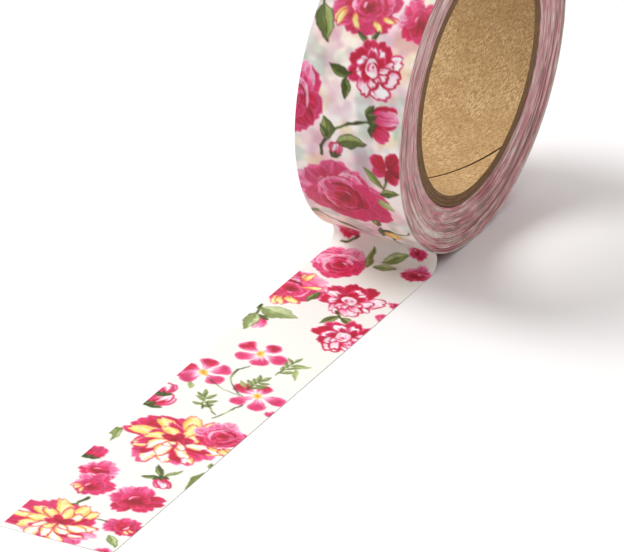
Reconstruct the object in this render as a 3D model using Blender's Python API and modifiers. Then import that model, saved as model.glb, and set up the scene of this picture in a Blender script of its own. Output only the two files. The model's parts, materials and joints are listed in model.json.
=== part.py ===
"""A roll of printed washi tape: a spiral-wound kraft board core, the tape wound on it, and a strip unrolled
onto a table. Metres, +Z up. The row frame's origin is the middle of the footprint on the table, +X runs
along the strip towards its free end, and Y is the roll's axis.

The tape comes down the front of the roll with its print outwards, peels off low down, turns back on itself
in a small bend, and lies forward on the table with its print upwards. Everything about the roll's axis keeps
one angular division, so that nested rings stay parallel."""

from math import cos, pi, radians, sin, tan

import bmesh
import bpy
from mathutils import Matrix, Vector

MM = 0.001

# The tape
TAPE_WIDTH = 15.0 * MM
TAPE_THICKNESS = 0.08 * MM
STRIP_REACH = 97.0 * MM  # from the roll's axis to the free end

# The roll
ROLL_RADIUS = 23.4 * MM
CORE_RADIUS = 17.3 * MM
BORE_RADIUS = 15.8 * MM
CORE_WIDTH = 13.7 * MM  # the core stands back a little from the tape's edges
PLY_COUNT = 3
GLUE_GAP = 0.1 * MM  # between neighbouring plies, and between the core and the tape
TURN_GAP = 0.12 * MM  # between the outer turn and the turns under it
RING_STEPS = 96
EDGE_BREAK = 0.06 * MM

# The core's plies: each is one kraft ribbon wound as a helix, so a butt seam crosses it at a slant
PLY_NAMES = ("core_inner_ply", "core_middle_ply", "core_outer_ply")
SEAM_WIDTH = 0.2 * MM
SEAM_SLANT = radians(59.0)  # between the seam and the roll's axis
SEAM_ANGLES = (radians(168.0), radians(48.0), radians(288.0))  # seam middles, round from the top towards +X
SEAM_STEPS = 24
CUTTER_OVERLAP = 0.5 * MM  # how far a cutter reaches past what it cuts

# Where the tape leaves the roll
PEEL_ANGLE = radians(150.0)  # round from the top towards +X
PEEL_CLEARANCE = 0.3 * MM
BEND_STEPS = 20

# The strip's sections
SECTION_GAP = 0.3 * MM
PAYING_OUT_LENGTH = 3.0 * MM
LINK_COUNT = 5
LINK_PITCH = 7.0 * MM

# Worked out from the above
ROLL_X = (ROLL_RADIUS - STRIP_REACH) / 2
FREE_END_X = ROLL_X + STRIP_REACH
ROLL_AXIS = Vector((ROLL_X, 0.0, ROLL_RADIUS))
PLY_THICKNESS = (CORE_RADIUS - BORE_RADIUS - (PLY_COUNT - 1) * GLUE_GAP) / PLY_COUNT
WOUND_RADIUS = ROLL_RADIUS - TAPE_THICKNESS - TURN_GAP
ALONG_Y = Matrix.Rotation(-pi / 2, 4, "X")  # turns a shape made about Z so that its axis is +Y

KRAFT = ("kraft_board", (0.60, 0.43, 0.25, 1.0), 0.85)
KRAFT_DARK = ("kraft_board_inner_layers", (0.42, 0.29, 0.17, 1.0), 0.9)
TAPE_EDGES = ("tape_edges", (0.78, 0.52, 0.55, 1.0), 0.7)
TAPE_PRINT = ("tape_print", (0.93, 0.78, 0.82, 1.0), 0.55)


def clear_scene():
    for obj in list(bpy.data.objects):
        bpy.data.objects.remove(obj, do_unlink=True)


def new_collection(name):
    collection = bpy.data.collections.new(name)
    bpy.context.scene.collection.children.link(collection)
    return collection


def material(finish):
    name, colour, roughness = finish
    if name in bpy.data.materials:
        return bpy.data.materials[name]
    made = bpy.data.materials.new(name)
    made.use_nodes = True
    shader = made.node_tree.nodes["Principled BSDF"]
    shader.inputs["Base Color"].default_value = colour
    shader.inputs["Roughness"].default_value = roughness
    shader.inputs["Metallic"].default_value = 0.0
    return made


def add_object(name, bm, collection, finish=None):
    mesh = bpy.data.meshes.new(name)
    bm.to_mesh(mesh)
    bm.free()
    obj = bpy.data.objects.new(name, mesh)
    collection.objects.link(obj)
    if finish:
        mesh.materials.append(material(finish))
    return obj


def on_circle(radius, angle):
    """A point round the roll's axis: angle 0 is the top, and a quarter turn is the front, at +X."""
    return Vector((ROLL_X + radius * sin(angle), 0.0, ROLL_RADIUS + radius * cos(angle)))


def ring(name, inner, outer, width, finish, collection):
    """A turned ring about the roll's axis: a rectangle with broken corners, swept by a Screw modifier."""
    half = width / 2
    edge = min(EDGE_BREAK, (outer - inner) / 3)
    profile = (
        (outer, half - edge),
        (outer, edge - half),
        (outer - edge, -half),
        (inner + edge, -half),
        (inner, edge - half),
        (inner, half - edge),
        (inner + edge, half),
        (outer - edge, half),
    )
    bm = bmesh.new()
    corners = [bm.verts.new((radius, 0.0, height)) for radius, height in profile]
    for start, end in zip(corners, corners[1:] + corners[:1]):
        bm.edges.new((start, end))
    obj = add_object(name, bm, collection, finish)
    obj.matrix_world = Matrix.Translation(ROLL_AXIS) @ ALONG_Y
    screw = obj.modifiers.new("turn", "SCREW")
    screw.axis = "Z"
    screw.angle = 2 * pi
    screw.steps = RING_STEPS
    screw.render_steps = RING_STEPS
    screw.use_merge_vertices = True
    screw.merge_threshold = 0.000001
    screw.use_smooth_shade = True
    return obj


def thicken(obj, thickness):
    """Thicken an open sheet evenly to both sides."""
    solidify = obj.modifiers.new("thickness", "SOLIDIFY")
    solidify.thickness = thickness
    solidify.offset = 0.0
    solidify.use_even_offset = True


def cut_slit(ring_object, inner, outer, width, angle, slant, slit_width, cutters):
    """Cut a slit right through a ring. The cutter is a thin ribbon that follows a helix of the given slant
    from the roll's axis, and passes through the angle at mid width."""
    reach = width / 2 + CUTTER_OVERLAP
    turn_per_metre = 2 * tan(slant) / (inner + outer)
    bm = bmesh.new()
    rows = []
    for step in range(SEAM_STEPS + 1):
        across = reach * (2 * step / SEAM_STEPS - 1)
        along = angle + across * turn_per_metre
        side = Vector((0.0, across, 0.0))
        low = on_circle(inner - CUTTER_OVERLAP, along) + side
        high = on_circle(outer + CUTTER_OVERLAP, along) + side
        rows.append((bm.verts.new(low), bm.verts.new(high)))
    for (low, high), (next_low, next_high) in zip(rows, rows[1:]):
        bm.faces.new((low, next_low, next_high, high))
    cutter = add_object(ring_object.name + "_slit", bm, cutters)
    thicken(cutter, slit_width)
    cutter.hide_render = True
    cutter.display_type = "WIRE"
    boolean = ring_object.modifiers.new("slit", "BOOLEAN")
    boolean.operation = "DIFFERENCE"
    boolean.solver = "EXACT"
    boolean.object = cutter


def add_core(parts, cutters):
    """Three plies, each with its slanted butt seam, staggered round the core."""
    for number, (name, seam_angle) in enumerate(zip(PLY_NAMES, SEAM_ANGLES)):
        inner = BORE_RADIUS + number * (PLY_THICKNESS + GLUE_GAP)
        outer = inner + PLY_THICKNESS
        finish = KRAFT if number == 0 else KRAFT_DARK
        ply = ring(name, inner, outer, CORE_WIDTH, finish, parts)
        cut_slit(ply, inner, outer, CORE_WIDTH, seam_angle, SEAM_SLANT, SEAM_WIDTH, cutters)


def add_wound_tape(parts, cutters):
    """The turns wound on the core, and the outer turn, whose end is where the tape leaves the roll."""
    ring("wound_turns", CORE_RADIUS + GLUE_GAP, WOUND_RADIUS, TAPE_WIDTH, TAPE_EDGES, parts)
    inner = ROLL_RADIUS - TAPE_THICKNESS
    outer_turn = ring("outer_turn", inner, ROLL_RADIUS, TAPE_WIDTH, TAPE_PRINT, parts)
    cut_slit(outer_turn, inner, ROLL_RADIUS, TAPE_WIDTH, PEEL_ANGLE, 0.0, SECTION_GAP, cutters)


def bend_path():
    """The middle of the tape's thickness through the bend: one arc, tangent to the roll where the tape
    peels off and tangent to the table where it lies down. It turns through the peel angle."""
    peel = on_circle(ROLL_RADIUS + PEEL_CLEARANCE + TAPE_THICKNESS / 2, PEEL_ANGLE)
    radius = (peel.z - TAPE_THICKNESS / 2) / (1 - cos(PEEL_ANGLE))
    centre = Vector((peel.x + radius * sin(PEEL_ANGLE), 0.0, TAPE_THICKNESS / 2 + radius))
    path = []
    for step in range(BEND_STEPS + 1):
        below = PEEL_ANGLE * (1 - step / BEND_STEPS)  # how far the tape's heading still is from +X
        path.append(centre - Vector((radius * sin(below), 0.0, radius * cos(below))))
    return path


def add_peel_bend(parts):
    """The bend is an open sheet, thickened to the tape's thickness."""
    bm = bmesh.new()
    across = Vector((0.0, TAPE_WIDTH / 2, 0.0))
    rows = [(bm.verts.new(point - across), bm.verts.new(point + across)) for point in bend_path()]
    for (left, right), (next_left, next_right) in zip(rows, rows[1:]):
        bm.faces.new((left, next_left, next_right, right))
    thicken(add_object("peel_bend", bm, parts, TAPE_PRINT), TAPE_THICKNESS)


def strip_section(name, start, end, parts, pivot=None):
    """A flat length of tape on the table. Its origin is on its joint's axis, or at its near end."""
    origin = start if pivot is None else pivot
    bm = bmesh.new()
    bmesh.ops.create_cube(bm, size=1.0)
    bmesh.ops.scale(bm, vec=Vector((end - start, TAPE_WIDTH, TAPE_THICKNESS)), verts=bm.verts)
    middle = Vector(((start + end) / 2 - origin, 0.0, TAPE_THICKNESS / 2))
    bmesh.ops.translate(bm, vec=middle, verts=bm.verts)
    obj = add_object(name, bm, parts, TAPE_PRINT)
    obj.location = (origin, 0.0, 0.0)


def add_strip(parts):
    """The new tape behind the strip, the strip that is stuck down, and the free end in short links."""
    paying_out_start = bend_path()[-1].x + SECTION_GAP
    paying_out_end = paying_out_start + PAYING_OUT_LENGTH
    first_hinge = FREE_END_X - LINK_COUNT * LINK_PITCH
    strip_section("paying_out_strip", paying_out_start, paying_out_end, parts)
    strip_section("laid_strip", paying_out_end + SECTION_GAP, first_hinge - SECTION_GAP / 2, parts)
    for number in range(LINK_COUNT):
        hinge = first_hinge + number * LINK_PITCH
        last = number == LINK_COUNT - 1
        end = hinge + LINK_PITCH - (0.0 if last else SECTION_GAP / 2)
        strip_section(f"free_end_{number + 1}", hinge + SECTION_GAP / 2, end, parts, pivot=hinge)


def main():
    clear_scene()
    parts = new_collection("washi_tape_roll")
    cutters = new_collection("washi_tape_roll_cutters")
    add_core(parts, cutters)
    add_wound_tape(parts, cutters)
    add_peel_bend(parts)
    add_strip(parts)


main()
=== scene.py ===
"""Looks for the washi tape roll: printed paper tape on a kraft board core, with a strip laid out in front.

The print is painted here, in numpy, on one repeat of the pattern, and each length of tape takes its colours
from the place that it holds along that repeat. Shapes are worked out in millimetres and become metres when a
mesh is made; the floor, light and camera are in metres. Everything is in the row frame."""

import json
from math import atan2, cos, hypot, pi, radians, sin

import bpy
import numpy as np
from mathutils import Matrix, Vector


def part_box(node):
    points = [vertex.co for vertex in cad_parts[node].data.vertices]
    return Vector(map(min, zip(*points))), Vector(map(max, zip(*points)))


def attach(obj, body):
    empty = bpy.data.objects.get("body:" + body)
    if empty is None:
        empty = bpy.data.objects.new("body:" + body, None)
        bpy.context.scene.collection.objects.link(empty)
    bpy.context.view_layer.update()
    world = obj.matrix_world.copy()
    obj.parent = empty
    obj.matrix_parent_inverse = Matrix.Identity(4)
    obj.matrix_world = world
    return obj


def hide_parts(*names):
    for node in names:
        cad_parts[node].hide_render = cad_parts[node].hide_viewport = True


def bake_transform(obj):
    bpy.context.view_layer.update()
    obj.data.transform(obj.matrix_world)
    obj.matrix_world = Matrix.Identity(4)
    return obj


MM = 0.001

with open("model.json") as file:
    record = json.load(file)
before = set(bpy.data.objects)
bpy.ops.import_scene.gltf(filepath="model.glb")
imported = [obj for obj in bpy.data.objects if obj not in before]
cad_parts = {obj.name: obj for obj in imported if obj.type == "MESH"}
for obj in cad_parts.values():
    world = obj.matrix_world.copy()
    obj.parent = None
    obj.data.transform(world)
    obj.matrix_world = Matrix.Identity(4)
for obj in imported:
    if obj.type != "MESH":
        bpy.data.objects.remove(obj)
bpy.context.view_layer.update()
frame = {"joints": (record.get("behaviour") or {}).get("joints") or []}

# ---------------- sizes in millimetres, from the frame


def corners(node):
    """The lowest and highest corners of a CAD node."""
    low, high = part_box(node)
    return low / MM, high / MM


def radius_of(node):
    low, high = corners(node)
    return (high.z - low.z) / 2


ROLL_LOW, ROLL_HIGH = corners("outer_turn")
LAID_LOW, LAID_HIGH = corners("laid_strip")
ROLL_X = (ROLL_LOW.x + ROLL_HIGH.x) / 2
ROLL_Z = (ROLL_LOW.z + ROLL_HIGH.z) / 2
RADIUS = radius_of("outer_turn")
HALF_ACROSS = (ROLL_HIGH.y - ROLL_LOW.y) / 2
THICK = LAID_HIGH.z - LAID_LOW.z
HALF_THICK = THICK / 2
PLIES = ("core_inner_ply", "core_middle_ply", "core_outer_ply")
PLY_RADII = [radius_of(node) for node in PLIES]
CORE_HALF_WIDTH = corners("core_outer_ply")[1].y
LINKS = [f"free_end_{number}" for number in range(1, 6)]
FREE_END = corners(LINKS[-1])[1].x
HINGES = [joint["pos_m"][0] / MM for joint in frame["joints"] if joint["child"] in LINKS]
LINK_HALF = (HINGES[1] - HINGES[0]) / 2

# Where the tape leaves the roll, round from the top towards +X, as in the frame
PEEL_ANGLE = radians(150.0)
# The print's repeat is one turn of the roll, so that paying out one turn brings the same print round again
REPEAT = 2 * pi * RADIUS

# ---------------- colour and noise


def to_linear(colour):
    """From the display values a painter thinks in to the linear values that Blender stores."""
    colour = np.asarray(colour, float)
    return np.where(colour <= 0.04045, colour / 12.92, ((colour + 0.055) / 1.055) ** 2.4)


def mix(a, b, share):
    """Between colours a and b, for one share or an array of them."""
    share = np.clip(share, 0.0, 1.0)[..., None]
    return np.asarray(a, float) * (1 - share) + np.asarray(b, float) * share


def step(low, high, value):
    """Smooth step from 0 at low to 1 at high."""
    t = np.clip((value - low) / (high - low), 0.0, 1.0)
    return t * t * (3 - 2 * t)


def value_noise(x, y, seed, wrap_x=None):
    """Smooth noise from -1 to 1 at points x, y, one lump to a unit. wrap_x is a whole number of lumps."""
    size = 256
    table = np.random.default_rng(seed).uniform(-1.0, 1.0, (size, size))
    column, row = np.floor(x).astype(int), np.floor(y).astype(int)
    across, down = step(0, 1, x - column), step(0, 1, y - row)
    nxt = column + 1
    if wrap_x:
        column, nxt = column % wrap_x, nxt % wrap_x
    column, nxt, row, below = column % size, nxt % size, row % size, (row + 1) % size
    top = table[column, row] * (1 - across) + table[nxt, row] * across
    bottom = table[column, below] * (1 - across) + table[nxt, below] * across
    return top * (1 - down) + bottom * down


# ---------------- the printed sheet

CELLS_PER_MM = 16
UNEVEN_INK = 0.07  # how much the ink's strength varies, in patches and in fine mottle alike


class Sheet:
    """One repeat of the print: the ink's colour and how much of the paper it covers."""

    def __init__(self):
        self.across_cells = int(round(2 * HALF_ACROSS * CELLS_PER_MM))
        self.along_cells = int(round(REPEAT * CELLS_PER_MM))
        self.cell = REPEAT / self.along_cells
        self.ink = np.ones((self.along_cells, self.across_cells, 3))
        self.cover = np.zeros(self.ink.shape[:2])
        along = (np.arange(self.along_cells) + 0.5) * self.cell
        across = (np.arange(self.across_cells) + 0.5) / CELLS_PER_MM - HALF_ACROSS
        grid = np.meshgrid(along, across, indexing="ij")
        self.wobble = [
            0.2 * self.noise(*grid, 1.3, seed) + 0.09 * self.noise(*grid, 0.5, seed + 1)
            for seed in (11, 21)
        ]
        self.tone = 1 + UNEVEN_INK * (self.noise(*grid, 0.9, 31) + self.noise(*grid, 0.22, 41))

    def noise(self, along, across, lump, seed):
        """Noise that repeats with the print, its lumps about as long as lump."""
        lumps = max(1, int(round(REPEAT / lump)))
        return value_noise(along * lumps / REPEAT, across / lump + 50, seed, lumps)

    def lay(self, along, across, reach, brush):
        """Paint with a brush: a function of the millimetres from (along, across) that gives cover, colour."""
        first = int(np.floor((along - reach) / self.cell))
        last = int(np.ceil((along + reach) / self.cell))
        low = max(int(np.floor((across - reach + HALF_ACROSS) * CELLS_PER_MM)), 0)
        high = min(int(np.ceil((across + reach + HALF_ACROSS) * CELLS_PER_MM)), self.across_cells)
        if high <= low:
            return
        columns, rows = np.arange(first, last), np.arange(low, high)
        x = ((columns + 0.5) * self.cell - along)[:, None]
        y = ((rows + 0.5) / CELLS_PER_MM - HALF_ACROSS - across)[None, :]
        where = np.ix_(columns % self.along_cells, rows)
        cover, colour = brush(x + self.wobble[0][where], y + self.wobble[1][where])
        colour = np.asarray(colour, float) * self.tone[where][..., None]
        cover = np.clip(cover, 0.0, 1.0)
        kept = self.cover[where] * (1 - cover)
        total = np.maximum(cover + kept, 1e-6)
        blend = (colour * cover[..., None] + self.ink[where] * kept[..., None]) / total[..., None]
        self.ink[where] = np.clip(blend, 0.0, 1.0)
        self.cover[where] = cover + kept


SHEET = Sheet()

# Inks, as display colours from 0 to 1
CRIMSON = (0.76, 0.05, 0.21)
DEEP_RED = (0.58, 0.02, 0.13)
ROSE = (0.84, 0.18, 0.40)
PINK = (0.93, 0.40, 0.60)
PALE_PINK = (0.98, 0.72, 0.82)
BLUSH = (0.99, 0.90, 0.93)
WHITE = (0.995, 0.985, 0.98)
YELLOW = (0.98, 0.80, 0.33)
CREAM = (1.0, 0.94, 0.66)
ORANGE = (0.94, 0.58, 0.18)
DARK_GREEN = (0.20, 0.23, 0.05)
GREEN = (0.36, 0.43, 0.15)
OLIVE = (0.58, 0.64, 0.33)
PALE_GREEN = (0.76, 0.81, 0.60)

# The dark and the light ink of a leaf
LEAF = (DARK_GREEN, OLIVE)
DEEP_LEAF = (DARK_GREEN, GREEN)
SOFT_LEAF = (GREEN, OLIVE)
PALE_LEAF = (GREEN, PALE_GREEN)
FAINT_LEAF = (OLIVE, PALE_GREEN)

EDGE = 0.09  # half the soft edge of a brush mark
LIT_FROM = pi + 0.5  # the side of each flower that is painted light; the other side is painted deep
TEETH = 5.3  # half waves across the ragged tip of a petal


def turned(x, y, angle):
    return x * cos(angle) + y * sin(angle), -x * sin(angle) + y * cos(angle)


def beyond(x, y, distance, angle):
    """The point that lies at a distance from x, y, along an angle."""
    return x + distance * cos(angle), y + distance * sin(angle)


def petal_mark(length, width, angle, fullness, colours, seed, lip=0.0, curve=0.0):
    """One petal from its base at the middle, pointing along angle and then curving aside. colours takes how
    far along (0 at the base to 1 at the tip), how far across (-1 to 1), the millimetres to the petal's edge
    and a seed."""

    def brush(x, y):
        u, v = turned(x, y, angle)
        along = np.clip(u / length, 0.0, 1.0)
        v = v - curve * length * along**2
        half = width / 2 * np.sin(pi * along**fullness) ** 0.6
        tip = length * (1 - lip * (0.5 + 0.5 * np.sin(TEETH * v / width * pi + seed)))
        inside = np.minimum(half - np.abs(v), np.minimum(u, tip - u))
        side = v / np.maximum(half, 1e-3)
        return step(-EDGE, EDGE, inside), colours(along, np.clip(side, -1, 1), inside, seed)

    return brush


def streaks(along, side, seed, count=6.0):
    """Uneven lines that run from a petal's base to its tip."""
    return value_noise(side * count + 40 + seed, along * 2.2 + 9 + seed * 0.37, 77)


def solid_petal(deep, middle, tip, rim):
    """A petal shaded from a deep base to a light tip, with a thin lighter rim."""

    def colours(along, side, inside, seed):
        tone = along + 0.34 * streaks(along, side, seed)
        colour = mix(deep, middle, step(0.2, 0.62, tone))
        colour = mix(colour, tip, step(0.6, 1.0, tone) * 0.9)
        rimmed = (1 - step(0.05, 0.3, inside)) * step(0.4, 0.8, along)
        return mix(colour, rim, 0.8 * rimmed)

    return colours


def outlined_petal(line, flush, paper, weight):
    """A petal left nearly white, with a brushed edge and a flush of colour at its base."""

    def colours(along, side, inside, seed):
        tone = along + 0.4 * streaks(along, side, seed, 4.0)
        colour = mix(flush, PALE_PINK, step(0.2, 0.5, tone))
        colour = mix(colour, paper, step(0.45, 0.75, tone))
        uneven = weight * (1 + 0.5 * streaks(side, along, seed + 3, 3.0))
        return mix(colour, line, 1 - step(uneven * 0.6, uneven * 1.25, inside))

    return colours


def flame_petal(line, glow, pale):
    """A petal with a pale heart that glows yellow towards its sides, inside an uneven pink edge."""

    def colours(along, side, inside, seed):
        tone = along + 0.3 * streaks(along, side, seed, 5.0)
        middle = 1 - step(0.25, 0.85, np.abs(side) + 0.3 * streaks(along, side, seed))
        colour = mix(glow, pale, middle * step(0.1, 0.5, tone))
        uneven = 0.2 + 0.1 * streaks(side, along, seed + 3, 3.0)
        colour = mix(colour, line, 0.9 * (1 - step(uneven * 0.5, uneven * 1.3, inside)))
        return mix(line, colour, step(0.0, 0.22, tone))

    return colours


def blotched_petal(edge, blotch):
    """A petal of an open flower: pale at its base and edge, with a wet deep blotch towards the tip."""

    def colours(along, side, inside, seed):
        tone = along + 0.25 * streaks(along, side, seed, 4.0)
        colour = mix(BLUSH, edge, step(0.1, 0.5, tone))
        wet = step(0.35, 0.7, tone) * step(0.16, 0.5, inside + 0.16 * streaks(side, along, seed, 3.0))
        return mix(colour, blotch, 0.9 * wet)

    return colours


LIT_ROSE = [solid_petal(ROSE, PINK, PALE_PINK, BLUSH), solid_petal(CRIMSON, ROSE, PINK, PALE_PINK)]
DEEP_ROSE = [solid_petal(CRIMSON, ROSE, ROSE, PINK), solid_petal(DEEP_RED, CRIMSON, ROSE, PINK)]
HEART = [solid_petal(DEEP_RED, CRIMSON, ROSE, PINK)]
DRAWN = [outlined_petal(ROSE, CRIMSON, WHITE, 0.3), outlined_petal(CRIMSON, ROSE, BLUSH, 0.3)]
FILLED = [solid_petal(CRIMSON, CRIMSON, ROSE, PALE_PINK), solid_petal(DEEP_RED, CRIMSON, CRIMSON, PINK)]
FLAMED = [flame_petal(ROSE, YELLOW, CREAM), flame_petal(ROSE, YELLOW, WHITE)]
BLOTCHED = [blotched_petal(PINK, CRIMSON), blotched_petal(PINK, ROSE)]


def ring_of_petals(
    x, y, count, length, width, turn, palette, seed, fullness=1.5, lip=0.0, curve=0.0, spread=0.0
):
    """Petals round a centre, each a little different, those on the lit side from the palette's first half.
    Every second one is laid last, so that they overlap."""
    rng = np.random.default_rng(seed)
    half = max(1, len(palette) // 2)
    for number in [*range(0, count, 2), *range(1, count, 2)]:
        angle = turn + 2 * pi * number / count + rng.uniform(-0.2, 0.2)
        size = rng.uniform(0.84, 1.14)
        lit = cos(angle - LIT_FROM) + rng.uniform(-0.35, 0.35) > 0
        colours = palette[int(rng.integers(half))] if lit else palette[-1 - int(rng.integers(half))]
        breadth = width * rng.uniform(0.88, 1.12)
        mark = petal_mark(length * size, breadth, angle, fullness, colours, number + seed, lip, curve)
        SHEET.lay(*beyond(x, y, spread, angle), length * size * 1.2 + 0.5, mark)


def rings(x, y, radius, turn, seed, recipe, lip=0.08, curve=0.0):
    """Rings of petals from the outside in. Each row of the recipe gives the number of petals, their length
    and width as shares of the radius, the ring's turn, its palette and the petals' fullness."""
    for number, (count, length, width, twist, palette, fullness) in enumerate(recipe):
        size = (radius * length, radius * width)
        ring_of_petals(x, y, count, *size, turn + twist, palette, seed + number, fullness, lip, curve)


def disc_mark(radius, colour, squash=1.0, angle=0.0):
    """A round or oval touch of the brush. colour is one ink, or a petal's colours."""

    def brush(x, y):
        u, v = turned(x, y, angle)
        inside = radius * (1 - np.hypot(u / radius, v / (radius * squash)))
        cover = step(-EDGE, EDGE, inside)
        if callable(colour):
            along, side = np.clip(0.5 + u / radius / 2, 0, 1), np.clip(v / radius / squash, -1, 1)
            return cover, colour(along, side, inside, 0)
        return cover, colour

    return brush


def arc_mark(radius, thickness, start, span, colour):
    """A crescent stroke round a centre, thick in its middle."""

    def brush(x, y):
        angle = (np.arctan2(y, x) - start) % (2 * pi) / span
        body = np.sin(pi * np.clip(angle, 0, 1)) ** 0.8 * (angle < 1)
        inside = thickness / 2 * body - np.abs(np.hypot(x, y) - radius)
        return step(-EDGE, EDGE, inside) * (body > 0.05), colour

    return brush


def crescents(x, y, radius, count, colours, seed):
    """Loose strokes that curl round a flower's heart."""
    rng = np.random.default_rng(seed)
    for number in range(count):
        away = radius * (0.15 + 0.85 * number / count)
        place = (x + rng.uniform(-0.1, 0.1) * radius, y + rng.uniform(-0.1, 0.1) * radius)
        thickness, start, span = rng.uniform(0.2, 0.42), rng.uniform(0, 2 * pi), rng.uniform(1.1, 2.4)
        stroke = arc_mark(away, thickness, start, span, colours[number % len(colours)])
        SHEET.lay(*place, away + 0.6, stroke)


def rose(x, y, radius, turn, seed):
    """A full rose with a lobed outline, light on one side and deep on the other, and its heart off centre."""
    palette = LIT_ROSE + DEEP_ROSE
    rings(x, y, radius, turn, seed, [(9, 1.0, 0.78, 0.0, palette, 1.5)], lip=0.06)
    x, y = x + 0.08 * radius, y + 0.08 * radius
    rings(x, y, radius, turn, seed + 1, [(7, 0.74, 0.66, 0.5, palette, 1.5)], lip=0.06)
    recipe = ((6, 0.5, 0.5, 0.2, palette, 1.5), (4, 0.28, 0.34, 0.9, HEART, 1.5))
    rings(x, y, radius, turn, seed + 2, recipe, lip=0.0)
    crescents(x, y, radius * 0.62, 8, (DEEP_RED, PALE_PINK, CRIMSON, PINK, DEEP_RED), seed + 4)


def drawn_peony(x, y, radius, turn, seed):
    """A ragged flower, half of it filled with crimson and half only outlined, round a white heart."""
    recipe = (
        (8, 1.0, 0.68, 0.0, FILLED + DRAWN, 1.8),
        (7, 0.8, 0.5, 0.4, DRAWN, 1.7),
        (6, 0.56, 0.36, 0.0, FILLED + DRAWN, 1.5),
    )
    rings(x, y, radius, turn, seed, recipe, curve=0.22)
    heart = outlined_petal(CRIMSON, BLUSH, WHITE, 0.2)
    SHEET.lay(x, y, radius * 0.5, disc_mark(radius * 0.36, heart, 0.75, turn))
    crescents(x, y, radius * 0.3, 3, (CRIMSON, ROSE), seed + 4)


def flame_peony(x, y, radius, turn, seed):
    """A large loose flower: crimson petals and yellow ones that swirl round its heart."""
    recipe = (
        (9, 0.92, 0.66, 0.0, DEEP_ROSE + LIT_ROSE, 2.0),
        (10, 0.92, 0.38, 0.3, FLAMED, 1.9),
        (8, 0.74, 0.26, 0.7, FILLED, 1.7),
        (8, 0.64, 0.3, 0.2, FLAMED, 1.7),
    )
    rings(x, y, radius, turn, seed, recipe, curve=0.3)
    rings(x, y, radius, turn, seed + 4, [(5, 0.34, 0.22, 0.6, FILLED + FLAMED, 1.3)], lip=0.0)
    crescents(x, y, radius * 0.22, 3, (CRIMSON, ROSE), seed + 5)


def yellow_touches(x, y, radius, angle, count, seed):
    """A few yellow petals laid over one side of a flower. angle is in degrees."""
    rng = np.random.default_rng(seed)
    for number in range(count):
        turn = radians(angle) + rng.uniform(-0.7, 0.7)
        length, width = radius * rng.uniform(0.55, 0.8), radius * rng.uniform(0.3, 0.4)
        mark = petal_mark(length, width, turn, 1.3, FLAMED[0], number, curve=0.3)
        SHEET.lay(*beyond(x, y, radius * 0.25, turn), radius, mark)


def open_flower(x, y, radius, turn, seed):
    """Five separate petals, each with its own blotch, round a yellow eye."""
    ring_of_petals(x, y, 5, radius, radius * 0.74, turn, BLOTCHED, seed, 2.0, spread=radius * 0.06)
    SHEET.lay(x, y, radius * 0.4, disc_mark(radius * 0.23, YELLOW, 0.7, turn))
    SHEET.lay(x, y, radius * 0.3, disc_mark(radius * 0.1, ORANGE, 0.6, turn))


def blossom(x, y, radius, turn, seed):
    """A small many-petalled flower, deep in the middle and pink at its ragged edge."""
    rings(x, y, radius, turn, seed, [(6, 1.0, 0.8, 0.0, LIT_ROSE + DEEP_ROSE, 1.5)], lip=0.12)
    rings(x, y, radius, turn, seed + 1, [(5, 0.62, 0.55, 0.6, DEEP_ROSE, 1.5)])
    crescents(x, y, radius * 0.5, 3, (DEEP_RED, PALE_PINK, CRIMSON), seed + 2)


def leaf_mark(length, width, angle, bend, dark, light):
    """A pointed leaf with a dark edge and midrib, darker on one side of it than on the other."""

    def brush(x, y):
        u, v = turned(x, y, angle)
        along = np.clip(u / length, 0.0, 1.0)
        v = v - bend * length * (along - along * along)
        uneven = 1 + 0.06 * value_noise(u * 2, v * 0 + length, 7)
        half = width / 2 * np.sin(pi * along**0.8) ** 0.95 * uneven
        inside = np.minimum(half - np.abs(v), np.minimum(u + 0.05, length - u))
        side = v / np.maximum(half, 1e-3)
        veins = 0.75 + 0.25 * np.sin((along * 5.5 - np.abs(side) * 0.9) * 2 * pi)
        patch = value_noise(u * 1.3 + width, v * 1.6 + length, 8)
        colour = mix(mix(dark, light, 0.45), light, step(-0.3, 0.3, side + 0.3 * patch))
        colour = mix(colour, PALE_GREEN, 0.6 * step(0.25, 0.7, side + 0.25 * patch) * veins)
        rib = 1 - step(0.03, 0.14, np.abs(v) + 0.05 * along)
        colour = mix(colour, dark, 0.8 * rib + 0.85 * (1 - step(0.06, 0.22, inside)))
        return step(-EDGE, EDGE, inside), colour

    return brush


def leaf(start, end, width, inks=LEAF, bend=0.12):
    """A leaf from its stalk's place to its tip."""
    along, across = end[0] - start[0], end[1] - start[1]
    length, angle = hypot(along, across), atan2(across, along)
    SHEET.lay(*start, length * 1.1, leaf_mark(length, width, angle, bend, *inks))


def stem(start, middle, end, thickness=0.4, colour=GREEN):
    """A stroke along a quadratic curve, laid as close round dabs, thinner towards its end."""
    start, middle, end = (np.array(point, float) for point in (start, middle, end))
    length = np.linalg.norm(middle - start) + np.linalg.norm(end - middle)
    for share in np.linspace(0.0, 1.0, max(4, int(length / 0.1))):
        point = (1 - share) ** 2 * start + 2 * share * (1 - share) * middle + share**2 * end
        tint = mix(colour, DARK_GREEN, 0.5 + 0.5 * sin(share * 9))
        SHEET.lay(*point, thickness * 2, disc_mark(thickness * (0.5 - 0.15 * share), tint))


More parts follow.
